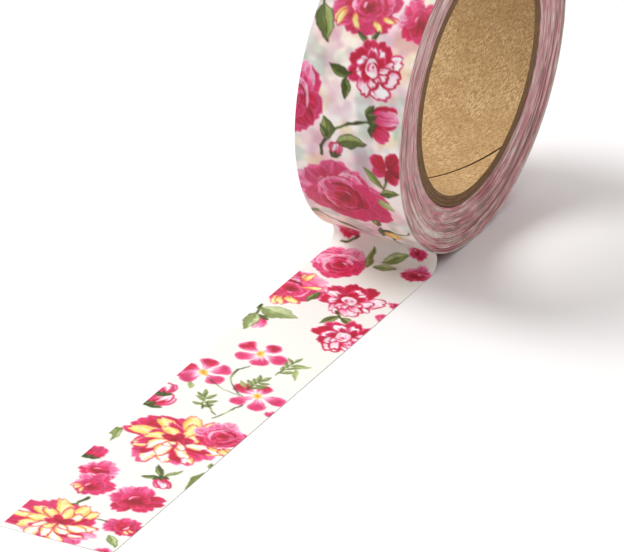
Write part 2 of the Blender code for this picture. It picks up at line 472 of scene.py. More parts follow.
def sprig(start, end, seed):
    """A fine stalk with seven small pale leaves, on both sides and at its tip."""
    rng = np.random.default_rng(seed)
    along, across = end[0] - start[0], end[1] - start[1]
    turn = atan2(across, along)
    middle = (start[0] + along / 2 - across * 0.1, start[1] + across / 2 + along * 0.1)
    stem(start, middle, end, 0.2, OLIVE)
    for number in range(7):
        lean = turn if number == 6 else turn + (1 if number % 2 else -1) * rng.uniform(0.6, 1.1)
        share = (number + 1) / 7
        place = (start[0] + along * share * 0.85, start[1] + across * share * 0.85)
        leaf(place, beyond(*place, rng.uniform(1.5, 2.2), lean), 0.62, PALE_LEAF)


def bud(x, y, size, angle, seed, palette):
    """A closed flower: overlapping petals in a cup of pointed sepals. angle is in degrees."""
    turn = radians(angle)
    for number, (lean, share) in enumerate(((-0.26, 0.94), (0.26, 0.94), (0.0, 1.0))):
        colours = palette[number % len(palette)]
        mark = petal_mark(size * share, size * 0.56, turn + lean, 1.1, colours, seed + number)
        SHEET.lay(x, y, size * 1.3, mark)
    base = beyond(x, y, -0.12 * size, turn)
    for lean, share in ((-0.9, 0.5), (0.9, 0.5), (0.0, 0.4)):
        leaf(base, beyond(*base, size * share, turn + lean), size * 0.24, DEEP_LEAF)


def paint_front_of_roll():
    """The print that shows on the front of the roll, from the top down to where the tape peels off."""
    rose(-42, -1.2, 4.6, 0.4, 101)
    yellow_touches(-41.6, -2.6, 3.6, -20, 3, 102)
    yellow_touches(-41.2, 0.6, 3.2, 45, 3, 104)
    blossom(-41.4, 6.6, 3.3, 0.6, 103)
    leaf((-40.7, -6.8), (-35.9, -4.6), 2.5, bend=-0.08)
    stem((-40.6, -6.8), (-41.6, -7), (-42.8, -7.4), 0.3)
    leaf((-37, 1.2), (-38.4, -1.3), 0.8)
    leaf((-37, 1.2), (-39, 1.7), 0.8, DEEP_LEAF)
    drawn_peony(-34.2, 2.3, 3.9, 0.3, 105)
    leaf((-32.6, -0.7), (-33.3, -3.9), 1.3, DEEP_LEAF)
    stem((-33, -0.6), (-32.6, -0.9), (-32, -1.2), 0.26)
    leaf((-32.2, -1.3), (-29.4, -0.7), 1.3, DEEP_LEAF)
    rose(-28.3, -9.1, 6, 5.6, 107)
    stem((-20.8, -3.8), (-26, -2.8), (-27, 2.6), 0.42)
    leaf((-23.2, -2.6), (-26.5, -3.7), 2, bend=-0.25)
    leaf((-23.6, -2.8), (-25.2, -4), 0.9)
    leaf((-23.1, -1.5), (-24.1, 2.7), 2.2)
    bud(-21, -1.7, 2.2, 172, 113, DRAWN)
    bud(-27.9, 3, 4.3, 98, 109, FILLED + LIT_ROSE)
    bud(-26.3, 3.4, 2.9, 70, 110, DEEP_ROSE)
    rose(-14.3, -1.5, 6.6, 0.5, 111)
    ring_of_petals(-21.2, 5.8, 5, 2.6, 2.1, 0.3, FILLED + DEEP_ROSE, 115, 1.3, spread=0.1)
    stem((-19.4, 5.6), (-18.4, 5.5), (-17.4, 5), 0.26)
    leaf((-17.6, 5), (-20.8, 2.1), 1.2, SOFT_LEAF, bend=-0.1)
    leaf((-16.4, 4.5), (-17.5, 7.4), 1.3)
    leaf((-15.3, 3.9), (-13.7, 6), 1.3, FAINT_LEAF)
    leaf((-8.6, -6.2), (-7.2, -7.4), 1, SOFT_LEAF)
    leaf((-4.4, -1.4), (-6.6, -4.6), 1.5, SOFT_LEAF)
    stem((-8, -6.6), (-6, -4), (-4.2, -1.4), 0.3, OLIVE)
    leaf((-8.6, 2.4), (-10.6, 2.9), 1.1)
    leaf((-8.4, 2.6), (-4.4, 2), 1.1)
    bud(-7.6, 3.4, 2.9, 14, 117, [flame_petal(ORANGE, YELLOW, CREAM)])
    stem((-4.6, 3.6), (-3, 3.2), (-1.2, 3.4), 0.3)
    stem((-7.4, 4.6), (-7.4, 6.2), (-9.2, 7.2), 0.24, OLIVE)
    blossom(-1.6, -4.2, 2, 1.2, 119)


def paint_near_half():
    """The print on the strip, from the bend to its middle."""
    blossom(0.2, -5.2, 1.9, 0.8, 120)
    stem((1.2, -4), (2.4, -4.6), (2.9, -6.4), 0.34)
    rose(7.3, -4.3, 4.4, 2.2, 121)
    leaf((6.4, -0.6), (2.4, -1.7), 1.2, SOFT_LEAF)
    leaf((4.3, 0.4), (2.2, 3.6), 1.5, PALE_LEAF)
    leaf((5.8, 0.1), (4.9, 3.2), 1.7, PALE_LEAF)
    blossom(1.2, 4.6, 1.6, 0.3, 122)
    blossom(5, 5.8, 2.1, 0.9, 123)
    rose(16.2, -6.8, 4.9, 0.1, 125)
    yellow_touches(15.4, -6.4, 3.8, 130, 3, 126)
    yellow_touches(17.6, -6.6, 4, 20, 4, 124)
    leaf((18.6, -2.9), (15.2, -2.4), 1.1, bend=0.3)
    drawn_peony(15.6, 1.8, 4.1, 1, 127)
    blossom(13.7, 7.3, 1.2, 0.3, 128)
    blossom(17.5, 7.4, 1.1, 1.3, 129)
    stem((18.8, 1.6), (19.6, 2.2), (20.2, 2.8), 0.3)
    leaf((19.7, 2.4), (22.7, 1.1), 1.2)
    leaf((20.1, 2.7), (21.4, 5.4), 1.1)
    drawn_peony(24.5, 5.4, 4.1, 0.5, 131)
    leaf((23.3, -7.1), (23.1, -1.8), 3, PALE_LEAF, bend=-0.06)
    stem((22.4, -7.5), (23.6, -7.2), (25, -6.8), 0.4)
    bud(25.2, -6.2, 3.4, 14, 133, LIT_ROSE)
    leaf((24.6, -7), (29.4, -6.4), 1.9, PALE_LEAF, bend=0.1)
    open_flower(33.9, -1.4, 3.3, 0.35, 135)
    open_flower(41.9, -5.2, 3.5, 0.9, 137)
    open_flower(43.9, 3.4, 3.4, 0.5, 139)
    stem((37.4, -1.3), (42, -3.4), (44.8, 1.8), 0.2, OLIVE)
    stem((43.4, -3.8), (44.4, -1.6), (44.9, 1.4), 0.18, OLIVE)
    sprig((37.6, 2.8), (33, 3.6), 141)
    leaf((35.2, 3.8), (33.6, 5.8), 0.7, FAINT_LEAF)
    leaf((35.4, 4.4), (37.8, 5.4), 0.7, FAINT_LEAF)
    sprig((43, 1.4), (39.6, 2.2), 143)
    leaf((42.6, 1), (41.2, -0.4), 0.7, FAINT_LEAF)


def paint_far_half():
    """The print on the strip, from its middle to its free end, and a little beyond."""
    leaf((44.9, -5.6), (46.6, -4.8), 0.8, FAINT_LEAF)
    sprig((50.4, -0.9), (46.6, -2.4), 145)
    stem((46.8, 2.8), (49.6, 2.4), (52, 1), 0.26, OLIVE)
    stem((48.8, -1.2), (50, 0.2), (51, 1), 0.18, OLIVE)
    bud(52.8, -7.1, 4, 160, 147, DRAWN)
    bud(49.8, -7, 3.2, 190, 148, DRAWN)
    blossom(47, 7.2, 1.1, 0.6, 149)
    flame_peony(59.2, 0.3, 7, 0.25, 151)
    rose(55, 4.3, 3.4, 5.4, 153)
    yellow_touches(57.4, 5.2, 3.4, 60, 4, 154)
    leaf((68.2, 2.8), (65.6, 1.2), 0.9)
    leaf((68.4, 2.6), (69.3, 0.6), 0.9)
    leaf((67.8, 3), (65.4, 4.6), 0.9, PALE_LEAF)
    bud(68.4, 2.9, 3, 34, 155, DRAWN)
    leaf((64.2, 7.4), (69.6, 6.9), 2.2, SOFT_LEAF)
    leaf((63.4, 7.4), (61.8, 6.6), 0.8, SOFT_LEAF)
    leaf((59.8, -7.3), (63.6, -7.1), 0.9, PALE_LEAF)
    bud(68.6, -7.1, 3.2, 178, 157, DEEP_ROSE)
    blossom(71, -4.6, 2.9, 1, 159)
    blossom(74.5, -3.3, 3.1, 4, 160)
    yellow_touches(74.6, -3.6, 2.4, -60, 3, 158)
    blossom(75, 2.9, 3.6, 4, 161)
    blossom(81.6, 5, 2.6, 0.2, 163)
    yellow_touches(81.6, 5, 2.2, 60, 3, 164)
    stem((77.4, -2.2), (79.6, -3.4), (82.4, -1.4), 0.4)
    stem((79.6, -2.7), (80.4, -3.8), (81.8, -4.2), 0.3)
    stem((82.2, -1.2), (81.4, 0.8), (81.6, 2.8), 0.24)
    leaf((84.2, 4.4), (86.6, 6.4), 1.3, PALE_LEAF)
    flame_peony(85, -2.6, 5.9, 0.5, 165)
    blossom(88.4, 6, 1.4, 0.4, 167)


def paint_back_of_roll():
    """The print that shows only on the back of the roll."""
    drawn_peony(95.8, 3.2, 3.6, 0.2, 171)
    leaf((93.4, 0.6), (91.8, -2), 1.2)
    sprig((93, -5), (97, -6.6), 173)
    rose(100.6, -4, 3.8, 1.4, 175)
    leaf((99.4, -0.2), (100.6, 2), 1.2)
    bud(101.8, 3.8, 2.6, 80, 177, DEEP_ROSE + LIT_ROSE)


paint_front_of_roll()
paint_near_half()
paint_far_half()
paint_back_of_roll()

# ---------------- tape meshes

ALONG_STEP = 0.125  # spacing of the mesh that carries the print, in millimetres
ROWS = 121  # points across the printed side
BACK_ROWS = 31  # points across the tape's back
BARE = (1.0, 1.0, 1.0)
PAPER = (0.95, 0.95, 0.922)
PAPER_ON_ROLL = (0.955, 0.93, 0.915)
INK_ON_ROLL = 0.92  # the inks look deeper over many layers of print than on the bare table
INK_ON_BACK = 0.16  # how strongly the print shows on the tape's back
# How far round the print underneath lies, and how strongly it shows
SHOW_THROUGH = ((53.0, 0.13), (91.0, 0.08))
# The tints and noise seeds of the clouds of colour in the outer turn's paper
CLOUDS = (((0.83, 0.90, 0.88), 81), ((0.91, 0.84, 0.90), 83), ((0.97, 0.94, 0.82), 85))


def blurred(values, cells, axis=0):
    """A running mean over a number of cells each way, along the repeat (axis 0) or across the tape (1)."""
    count = values.shape[axis]
    total = np.zeros_like(values)
    for offset in range(-cells, cells + 1):
        index = np.arange(count) + offset
        index = index % count if axis == 0 else np.clip(index, 0, count - 1)
        total += np.take(values, index, axis)
    return total / (2 * cells + 1)


def composed(paper, depth=1.0):
    """The print on a paper. depth under 1 deepens the inks."""
    cover = SHEET.cover[..., None]
    return SHEET.ink * depth * cover + np.asarray(paper) * (1 - cover)


def ghosted_paper():
    """The paper of the outer turn, with the print of the turns under it showing through."""
    paper = np.broadcast_to(PAPER_ON_ROLL, SHEET.ink.shape)
    along = np.arange(SHEET.along_cells)[:, None] * SHEET.cell
    across = np.arange(SHEET.across_cells)[None, :] / CELLS_PER_MM
    for tint, seed in CLOUDS:
        cloud = SHEET.noise(along, across, 3.2, seed) + 0.5 * SHEET.noise(along, across, 1.2, seed + 1)
        paper = mix(BARE, tint, 0.85 * step(0.05, 0.75, cloud)) * paper
    under = blurred(blurred(composed(BARE), 5), 5, 1)
    for shift, strength in SHOW_THROUGH:
        paper = paper * (1 - strength * (1 - np.roll(under, int(shift / SHEET.cell), 0)))
    return paper


def settled(image):
    """Softened by about one cell, as ink spreads in paper, and turned to linear colour."""
    return to_linear(blurred(blurred(image, 1), 1, 1))


PRINT = settled(composed(PAPER))
PRINT_ON_ROLL = settled(composed(ghosted_paper(), INK_ON_ROLL))
BACK_OF_PRINT = to_linear(np.array(PAPER) * (1 - INK_ON_BACK * (1 - composed(PAPER))))


def sampled(image, along, across):
    """The image's colour at points in millimetres, between its cells."""
    u = along / SHEET.cell - 0.5
    v = np.clip((across + HALF_ACROSS) * CELLS_PER_MM - 0.5, 0, SHEET.across_cells - 1.001)
    column, row = np.floor(u).astype(int), np.floor(v).astype(int)
    share_u, share_v = (u - column)[..., None], (v - row)[..., None]
    nxt = (column + 1) % SHEET.along_cells
    column = column % SHEET.along_cells
    low = image[column, row] * (1 - share_u) + image[nxt, row] * share_u
    high = image[column, row + 1] * (1 - share_u) + image[nxt, row + 1] * share_u
    return low * (1 - share_v) + high * share_v


def stacked(*values):
    """Numbers or arrays of one shape, as the columns of one long table of points or faces."""
    return np.stack(np.broadcast_arrays(*values), axis=-1).reshape(-1, len(values))


def add_object(name, data):
    made = bpy.data.objects.new(name, data)
    bpy.context.scene.collection.objects.link(made)
    return made


def make_mesh(name, points, faces, colours, sheet, materials, material_index=None):
    """A mesh object from numpy points in millimetres and a list of face arrays, each of one face size."""
    mesh = bpy.data.meshes.new(name)
    mesh.vertices.add(len(points))
    mesh.vertices.foreach_set("co", (points * MM).astype(np.float32).ravel())
    loops = np.concatenate([face.ravel() for face in faces])
    sizes = np.concatenate([np.full(len(face), face.shape[1]) for face in faces])
    mesh.loops.add(len(loops))
    mesh.loops.foreach_set("vertex_index", loops.astype(np.int32))
    mesh.polygons.add(len(sizes))
    mesh.polygons.foreach_set("loop_start", np.concatenate([[0], np.cumsum(sizes)[:-1]]).astype(np.int32))
    mesh.update(calc_edges=True)
    mesh.shade_smooth()
    mesh.set_sharp_from_angle(angle=radians(40))
    if colours is not None:
        layer = mesh.color_attributes.new("print", "FLOAT_COLOR", "POINT")
        packed = np.concatenate([colours, np.ones((len(colours), 1))], axis=1)
        layer.data.foreach_set("color", packed.astype(np.float32).ravel())
    layer = mesh.attributes.new("sheet", "FLOAT_VECTOR", "POINT")
    layer.data.foreach_set("vector", sheet.astype(np.float32).ravel())
    for material in materials:
        mesh.materials.append(material)
    if material_index is not None:
        mesh.polygons.foreach_set("material_index", material_index.astype(np.int32))
    return add_object(name, mesh)


def grid_faces(columns, rows, first, flip=False, wrap=False):
    """Quads over a columns by rows block of vertices that starts at index first."""
    count = columns if wrap else columns - 1
    i, j = np.meshgrid(np.arange(count), np.arange(rows - 1), indexing="ij")
    near = first + i * rows + j
    far = first + ((i + 1) % columns) * rows + j
    quads = stacked(near, far, far + 1, near + 1)
    return quads[:, ::-1] if flip else quads


def tape(name, path, normals, along, image, slant=0.0, aside=0.0):
    """A length of tape as a closed slab. path is its middle plane as x, z and normals point to its printed
    side. slant is how far each column of the mesh leans along the tape for each millimetre across it, and
    aside is how far it has strayed sideways, from under a print that runs straight."""
    slant, aside = (np.broadcast_to(value, len(path))[:, None] for value in (slant, aside))
    columns = len(path)
    blocks, colours, sheets = [], [], []
    for side, rows, picture in ((1, ROWS, image), (-1, BACK_ROWS, BACK_OF_PRINT)):
        x, z = (path + side * HALF_THICK * normals).T[..., None]
        across = np.linspace(-HALF_ACROSS, HALF_ACROSS, rows)[None, :]
        lean = slant * across
        place = along[:, None] + lean
        blocks.append(stacked(x + lean, across + aside, z))
        colours.append(sampled(picture, *stacked(place, across + aside).T))
        sheets.append(stacked(place, across, side))
    back = columns * ROWS
    front_edge = np.arange(columns) * ROWS
    back_edge = back + np.arange(columns) * BACK_ROWS
    front_far, back_far = front_edge + ROWS - 1, back_edge + BACK_ROWS - 1
    left = stacked(front_edge[:-1], back_edge[:-1], back_edge[1:], front_edge[1:])
    right = stacked(front_far[:-1], front_far[1:], back_far[1:], back_far[:-1])
    start = np.concatenate([np.arange(ROWS), back + np.arange(BACK_ROWS)[::-1]])
    end = np.concatenate([front_edge[-1] + np.arange(ROWS)[::-1], back_edge[-1] + np.arange(BACK_ROWS)])
    front, behind = grid_faces(columns, ROWS, 0), grid_faces(columns, BACK_ROWS, back, flip=True)
    faces = [front, behind, left, right, start[None, :], end[None, :]]
    points, colours, sheet = (np.concatenate(parts) for parts in (blocks, colours, sheets))
    return make_mesh(name, points, faces, colours, sheet, [TAPE])


# ---------------- materials


class Nodes:
    """A material's or a world's node tree, with one call to add a node and wire its inputs."""

    def __init__(self, owner, surface="Principled BSDF"):
        owner.use_nodes = True
        self.owner = owner
        self.tree = owner.node_tree
        self.surface = self.tree.nodes[surface]

    def add(self, kind, output=0, inputs=None, **settings):
        made = self.tree.nodes.new("ShaderNode" + kind)
        for name, value in settings.items():
            setattr(made, name, value)
        self.fill(made, inputs or {})
        return made.outputs[output]

    def fill(self, made, inputs):
        for name, value in inputs.items():
            socket = made.inputs[name]
            if isinstance(value, bpy.types.NodeSocket):
                self.tree.links.new(value, socket)
            else:
                socket.default_value = value

    def attribute(self, name, output="Vector"):
        return self.add("Attribute", output, attribute_name=name)

    def noise(self, vector, scale, detail=3.0, rough=0.5):
        inputs = {"Vector": vector, "Scale": scale, "Detail": detail, "Roughness": rough}
        return self.add("TexNoise", "Fac", inputs)

    def fibres(self, scale, angle=0.0, detail=3.0, rough=0.6):
        """Noise drawn out over the sheet, which is turned by angle and then scaled along its own axes."""
        turn = self.add("Mapping", inputs={"Vector": self.attribute("sheet"), "Rotation": (0, 0, angle)})
        return self.noise(self.add("Mapping", inputs={"Vector": turn, "Scale": scale}), 1.0, detail, rough)

    def math(self, operation, a, b):
        return self.add("Math", inputs={0: a, 1: b}, operation=operation)

    def ramp(self, value, low, high, to_low=0.0, to_high=1.0):
        names = ("Value", "From Min", "From Max", "To Min", "To Max")
        return self.add("MapRange", inputs=dict(zip(names, (value, low, high, to_low, to_high))))

    def blend(self, share, a, b, mode="MIX"):
        return self.add("Mix", 2, {0: share, 6: a, 7: b}, data_type="RGBA", blend_type=mode)

    def finish(self, colour, roughness, height=None, depth=0.02, strength=0.5, **others):
        self.fill(self.surface, {"Base Color": colour, "Roughness": roughness, **others})
        if height is not None:
            bump = {"Height": height, "Distance": depth * MM, "Strength": strength}
            self.fill(self.surface, {"Normal": self.add("Bump", inputs=bump)})
        return self.owner


def linear(red, green, blue):
    """A colour for a node socket from display values of 0 to 255."""
    return (*to_linear(np.array([red, green, blue]) / 255), 1.0)


def tape_material():
    """Printed rice-paper tape: the print, long pale fibres in it, a fine crepe and a soft sheen."""
    nodes = Nodes(bpy.data.materials.new("printed_tape"))
    grain = nodes.noise(nodes.attribute("sheet"), 6.0, 3.0, 0.6)
    fibres = nodes.fibres((0.9, 9.0, 1.0), 0.35, 4.0)
    cross = nodes.fibres((1.1, 8.0, 1.0), -0.9, 4.0)
    weave = nodes.math("MULTIPLY", fibres, cross)
    shade = nodes.ramp(weave, 0.12, 0.38, 0.955, 1.02)
    tone = nodes.math("MULTIPLY", shade, nodes.ramp(grain, 0.35, 0.65, 0.97, 1.02))
    colour = nodes.blend(1.0, nodes.attribute("print", "Color"), tone, "MULTIPLY")
    roughness = nodes.ramp(grain, 0.3, 0.7, 0.42, 0.56)
    height = nodes.math("ADD", weave, nodes.math("MULTIPLY", grain, 0.35))
    sheen = {"Sheen Weight": 0.06, "Specular IOR Level": 0.35}
    return nodes.finish(colour, roughness, height, 0.03, 0.35, **sheen)


def turns_material():
    """The edges of the wound turns, seen on the sides of the roll."""
    nodes = Nodes(bpy.data.materials.new("tape_turns"))
    lines = nodes.fibres((0.3, 1.0, 12.0))
    blotch = nodes.fibres((0.7, 1.0, 2.4), rough=0.55)
    lined, blotched = nodes.ramp(lines, 0.3, 0.7, 0.86, 1.1), nodes.ramp(blotch, 0.3, 0.7, 0.84, 1.14)
    tone = nodes.math("MULTIPLY", lined, blotched)
    colour = nodes.blend(1.0, nodes.attribute("print", "Color"), tone, "MULTIPLY")
    return nodes.finish(colour, nodes.ramp(blotch, 0.3, 0.7, 0.38, 0.6), lines, 0.04, 0.6)


def kraft_material():
    """Kraft board: brown with fine slanting fibres, a few dark flecks and a slight cloudiness."""
    nodes = Nodes(bpy.data.materials.new("kraft_face"))
    fibres = nodes.fibres((1.7, 6.0, 1.0), -0.1, 5.0, 0.65)
    cross = nodes.fibres((2.4, 5.6, 1.0), 0.5, 4.0, 0.65)
    cloud = nodes.noise(nodes.attribute("sheet"), 0.35)
    flecks = nodes.ramp(nodes.fibres((1.6, 3.6, 1.0), 0.3, 2.0, 0.5), 0.64, 0.72)
    lengthwise, crosswise = nodes.ramp(fibres, 0.39, 0.61, 0.0, 0.6), nodes.ramp(cross, 0.39, 0.61, 0.0, 0.4)
    tone = nodes.math("ADD", lengthwise, crosswise)
    colour = nodes.blend(tone, linear(144, 104, 58), linear(234, 203, 151))
    colour = nodes.blend(nodes.ramp(cloud, 0.35, 0.65, 0.0, 0.5), colour, linear(172, 134, 82))
    colour = nodes.blend(nodes.math("MULTIPLY", flecks, 0.55), colour, linear(116, 80, 46))
    return nodes.finish(colour, nodes.ramp(fibres, 0.3, 0.7, 0.7, 0.9), tone, 0.05, 0.5)


def board_end_material():
    """The cut ends of the kraft plies: darker and rougher, in fine layers."""
    nodes = Nodes(bpy.data.materials.new("kraft_cut"))
    layers = nodes.fibres((0.25, 1.0, 11.0))
    fuzz = nodes.noise(nodes.attribute("sheet"), 4.0, 3.0, 0.6)
    tone = nodes.math("MULTIPLY", nodes.ramp(layers, 0.3, 0.7), nodes.ramp(fuzz, 0.2, 0.8, 0.6, 1.0))
    colour = nodes.blend(tone, linear(104, 75, 48), linear(160, 123, 85))
    return nodes.finish(colour, 0.88, fuzz, 0.05, 0.5)


TAPE = tape_material()
TURNS = turns_material()
KRAFT = kraft_material()
BOARD_END = board_end_material()

# ---------------- the tape, from the roll to its free end

# The bend: a round arc from the roll's surface, at the peel line, down to the table
PEEL_X = ROLL_X + (RADIUS - HALF_THICK) * sin(PEEL_ANGLE)
PEEL_Z = ROLL_Z + (RADIUS - HALF_THICK) * cos(PEEL_ANGLE)
BEND_RADIUS = (PEEL_Z - HALF_THICK) / (1 - cos(PEEL_ANGLE))
BEND_X = PEEL_X + BEND_RADIUS * sin(PEEL_ANGLE)
BEND_LENGTH = BEND_RADIUS * PEEL_ANGLE
BEND_COLUMNS = 61
PAID_OUT_GAP = 0.05  # the length on the table that the not yet paid-out turn takes at rest
PAID_OUT_STEP = 0.2  # spacing of that turn's mesh along the tape
LAID_START = BEND_X + PAID_OUT_GAP
STRAY = -0.0085  # how far the strip lies off its straight line, per millimetre along
CUT_SLANT = -0.08  # how far the cut across the free end leans, per millimetre across


def spaced(start, end, spacing=ALONG_STEP):
    return np.linspace(start, end, max(2, int(round(abs(end - start) / spacing)) + 1))


def lying(name, x, along, slant=0.0, aside=0.0):
    """A length of tape on the table, with its print upwards, through the places x."""
    return tape(name, stacked(x, HALF_THICK), np.array([0.0, 1.0]), along, PRINT, slant, aside)


def flat(name, start, end, end_slant=0.0):
    """A length between two places along X. Its last end is cut a little off square."""
    x = spaced(start, end)
    slant = end_slant * (x - start) / (end - start)
    return lying(name, x, BEND_LENGTH + x - BEND_X, slant, STRAY * (x - LAID_START))


def outer_turn():
    """The last turn on the roll, a spiral that rises by one thickness up to the peel line."""
    angle = spaced(-REPEAT, 0.0) / RADIUS
    radius = RADIUS - HALF_THICK + THICK * angle / (2 * pi)
    around = PEEL_ANGLE + angle
    outward = stacked(np.sin(around), np.cos(around))
    path = np.array([ROLL_X, ROLL_Z]) + radius[:, None] * outward
    return tape("outer_turn_print", path, outward, angle * RADIUS, PRINT_ON_ROLL)


def bend():
    """From the roll down to the table, with the print on the inside of the arc."""
    turn = np.linspace(0.0, PEEL_ANGLE, BEND_COLUMNS)
    heading = turn - PEEL_ANGLE
    inward = stacked(-np.sin(heading), np.cos(heading))
    path = np.array([BEND_X, HALF_THICK + BEND_RADIUS]) - BEND_RADIUS * inward
    return tape("bend_print", path, inward, turn * BEND_RADIUS, PRINT)


def paying_out():
    """The turn that the roll lays down as it travels. At rest it is gathered at the bend's foot."""
    weight = spaced(0.0, REPEAT, PAID_OUT_STEP) / REPEAT
    place = 0.5 - np.sin(np.arcsin(1 - 2 * weight) / 3)
    x = (LAID_START - PAID_OUT_GAP * place)[::-1]
    made = lying("paying_out_print", x, (BEND_LENGTH + PAID_OUT_GAP - REPEAT * weight)[::-1])
    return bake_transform(made)


def stands_for(made, node):
    """Hides the CAD node, so that the piece shows in its place."""
    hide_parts(node)


def free_end():
    """A flat length of tape over each hinge of the free end, and the straight tail."""
    for body, link, hinge in zip(["laid_strip"] + LINKS, LINKS, HINGES):
        start, end = hinge - LINK_HALF, hinge + LINK_HALF
        made = flat(link.replace("end", "end_print"), start, end)
        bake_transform(made)
        stands_for(made, link)
    tail = flat("free_end_print_tail", HINGES[-1] + LINK_HALF, FREE_END, CUT_SLANT)
    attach(tail, LINKS[-1])


stands_for(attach(outer_turn(), "roll"), "outer_turn")
stands_for(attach(bend(), "peel_point"), "peel_bend")
stands_for(paying_out(), "paying_out_strip")
stands_for(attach(flat("laid_print", LAID_START, HINGES[0] - LINK_HALF), "laid_strip"), "laid_strip")
free_end()

# ---------------- the wound turns

TURN_COLUMNS = 720
TURN_RINGS = 101
WOUND_OUTER = RADIUS - 2 * THICK - 0.02  # just inside the outer turn's spiral
WOUND_INNER = PLY_RADII[-1] + 0.1  # just outside the core
DISH = 0.85 * (HALF_ACROSS - CORE_HALF_WIDTH)  # how far the face is dished where it meets the core
EDGE_TONES = (-1.2, -0.6, -0.2, 0.2, 0.6, 1.0)  # noise levels for the tints below
EDGE_TINTS = (
    (0.50, 0.38, 0.35),
    (0.72, 0.47, 0.47),
    (0.84, 0.57, 0.58),
    (0.90, 0.67, 0.66),
    (0.94, 0.78, 0.75),
    (0.98, 0.89, 0.86),
)
EDGE_PINK = (0.80, 0.34, 0.42)
EDGE_GREEN = (0.74, 0.70, 0.63)
EDGE_PAPER = (0.86, 0.80, 0.78)
# Painted shade for the grooves between bundles of turns
EDGE_GROOVE_SHADE = (0.62, 0.44, 0.46)
# A few turns stand proud low on the near side, and the light that they catch is painted on them as a
# highlight
PROUD_RADIUS = 21.05
PROUD_WIDTH = 0.32
PROUD_START = (radians(108), radians(122))
PROUD_END = (radians(146), radians(160))
PROUD_HIGHLIGHT = (0.96, 0.92, 0.88)


def edge_inks(side):
    """The print's colour along one edge of the tape, from -1 to 1 for its side, as seen on end."""
    band = int(0.5 * CELLS_PER_MM)
    rows = slice(-band, None) if side > 0 else slice(0, band)
    return blurred(composed(EDGE_PAPER)[:, rows].mean(axis=1), 6)


def wound_side(side):
    """Points, colours and sheet coordinates of one side face of the roll, as columns by rings. The face is
    slightly dished, down to the end of the core, and its turns stand a little unevenly; the sunk grooves
    between them are painted darker as shade, and a few proud turns are painted lighter as a highlight."""
    around = np.arange(TURN_COLUMNS) * 2 * pi / TURN_COLUMNS
    radius = np.linspace(WOUND_OUTER, WOUND_INNER, TURN_RINGS)
    grid_a, grid_r = np.meshgrid(around, radius, indexing="ij")
    back = (PEEL_ANGLE - grid_a) % (2 * pi)
    turn = np.floor((RADIUS - grid_r) / THICK - back / (2 * pi))

    def noise(round_rate, out_rate, values, seed):
        """Noise that closes on itself round the roll."""
        lumps = max(1, int(round(2 * pi * round_rate)))
        return value_noise(grid_a / (2 * pi) * lumps, values * out_rate + 5, seed + side, lumps)

    tone = 0.65 * noise(2.6, 0.16, turn, 61) + 0.85 * noise(8.0, 0.24, turn, 63)
    tone = tone + 0.35 * noise(1.6, 1.6, grid_r, 65) + 0.6 * noise(19.0, 0.45, turn, 73)
    colour = np.stack([np.interp(tone, EDGE_TONES, channel) for channel in np.array(EDGE_TINTS).T], axis=-1)
    colour = mix(colour, EDGE_PINK, 0.55 * step(0.15, 0.7, noise(7.0, 0.2, turn, 75)))
    colour = mix(colour, EDGE_GREEN, 0.45 * step(0.25, 0.75, noise(4.0, 0.22, turn, 77)))
    total = back + 2 * pi * turn
    along = -(RADIUS * total - THICK * total**2 / (4 * pi)) + 11.0 * value_noise(turn * 0.7, turn * 0, 67)
    inks = edge_inks(side)[np.floor(along / SHEET.cell).astype(int) % SHEET.along_cells]
    # Grooves between bundles of turns: sunk a little, and painted darker as their shade
    line = step(0.35, 0.75, noise(1.5, 1.3, turn, 69))
    colour = (0.7 * colour + 0.3 * inks) * mix(BARE, EDGE_GROOVE_SHADE, line)
    # The proud turns: raised a little, and painted lighter as a highlight
    proud = np.exp(-(((grid_r - PROUD_RADIUS) / PROUD_WIDTH) ** 2))
    proud = proud * step(*PROUD_START, grid_a) * (1 - step(*PROUD_END, grid_a)) * (side > 0)
    colour = mix(colour, PROUD_HIGHLIGHT, 0.9 * proud)
    sunk = 0.06 + 0.05 * noise(0.9, 1.9, grid_r, 71) + 0.05 * line + 0.02 * tone - 0.08 * proud
    dish = DISH * (RADIUS - grid_r) / (RADIUS - WOUND_INNER)
    y = side * (HALF_ACROSS - dish - np.clip(sunk, 0.0, 0.2))
    points = stacked(ROLL_X + grid_r * np.sin(grid_a), y, ROLL_Z + grid_r * np.cos(grid_a))
    sheet = stacked(grid_a * RADIUS, side * 9.0, grid_r)
    return points, to_linear(np.clip(colour, 0, 1)).reshape(-1, 3), sheet


def wound_turns():
    """Every turn under the outer one, as one ring: two finely made side faces joined by plain cylinders."""
    block = TURN_COLUMNS * TURN_RINGS
    outer = np.arange(TURN_COLUMNS) * TURN_RINGS
    outer_next = np.roll(outer, -1)
    inner, inner_next = outer + TURN_RINGS - 1, outer_next + TURN_RINGS - 1
    faces = [
        grid_faces(TURN_COLUMNS, TURN_RINGS, 0, flip=True, wrap=True),
        grid_faces(TURN_COLUMNS, TURN_RINGS, block, wrap=True),
        stacked(outer, outer_next, outer_next + block, outer + block),
        stacked(inner, inner + block, inner_next + block, inner_next),
    ]
    points, colours, sheet = (np.concatenate(pair) for pair in zip(wound_side(1), wound_side(-1)))
    return make_mesh("wound_turns_edges", points, faces, colours, sheet, [TURNS])


stands_for(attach(wound_turns(), "roll"), "wound_turns")

# ---------------- the core

PLY_COLUMNS = 480
PLY_ROWS = 41
PLY_GAP = 0.02  # left between neighbouring plies
GLUE_GAP = 0.1  # between the plies of the CAD
END_BREAK = 0.06  # how far each ply's ends are rounded
SEAM_SLANT = radians(59.0)
SEAM_WIDTH = 0.26
SEAMS = (radians(168.0), radians(48.0), radians(288.0))
BORE_RADIUS = PLY_RADII[0] - (PLY_RADII[1] - PLY_RADII[0]) + GLUE_GAP
PLY_FACES = [BORE_RADIUS] + [radius + GLUE_GAP / 2 for radius in PLY_RADII[:2]] + [PLY_RADII[2]]


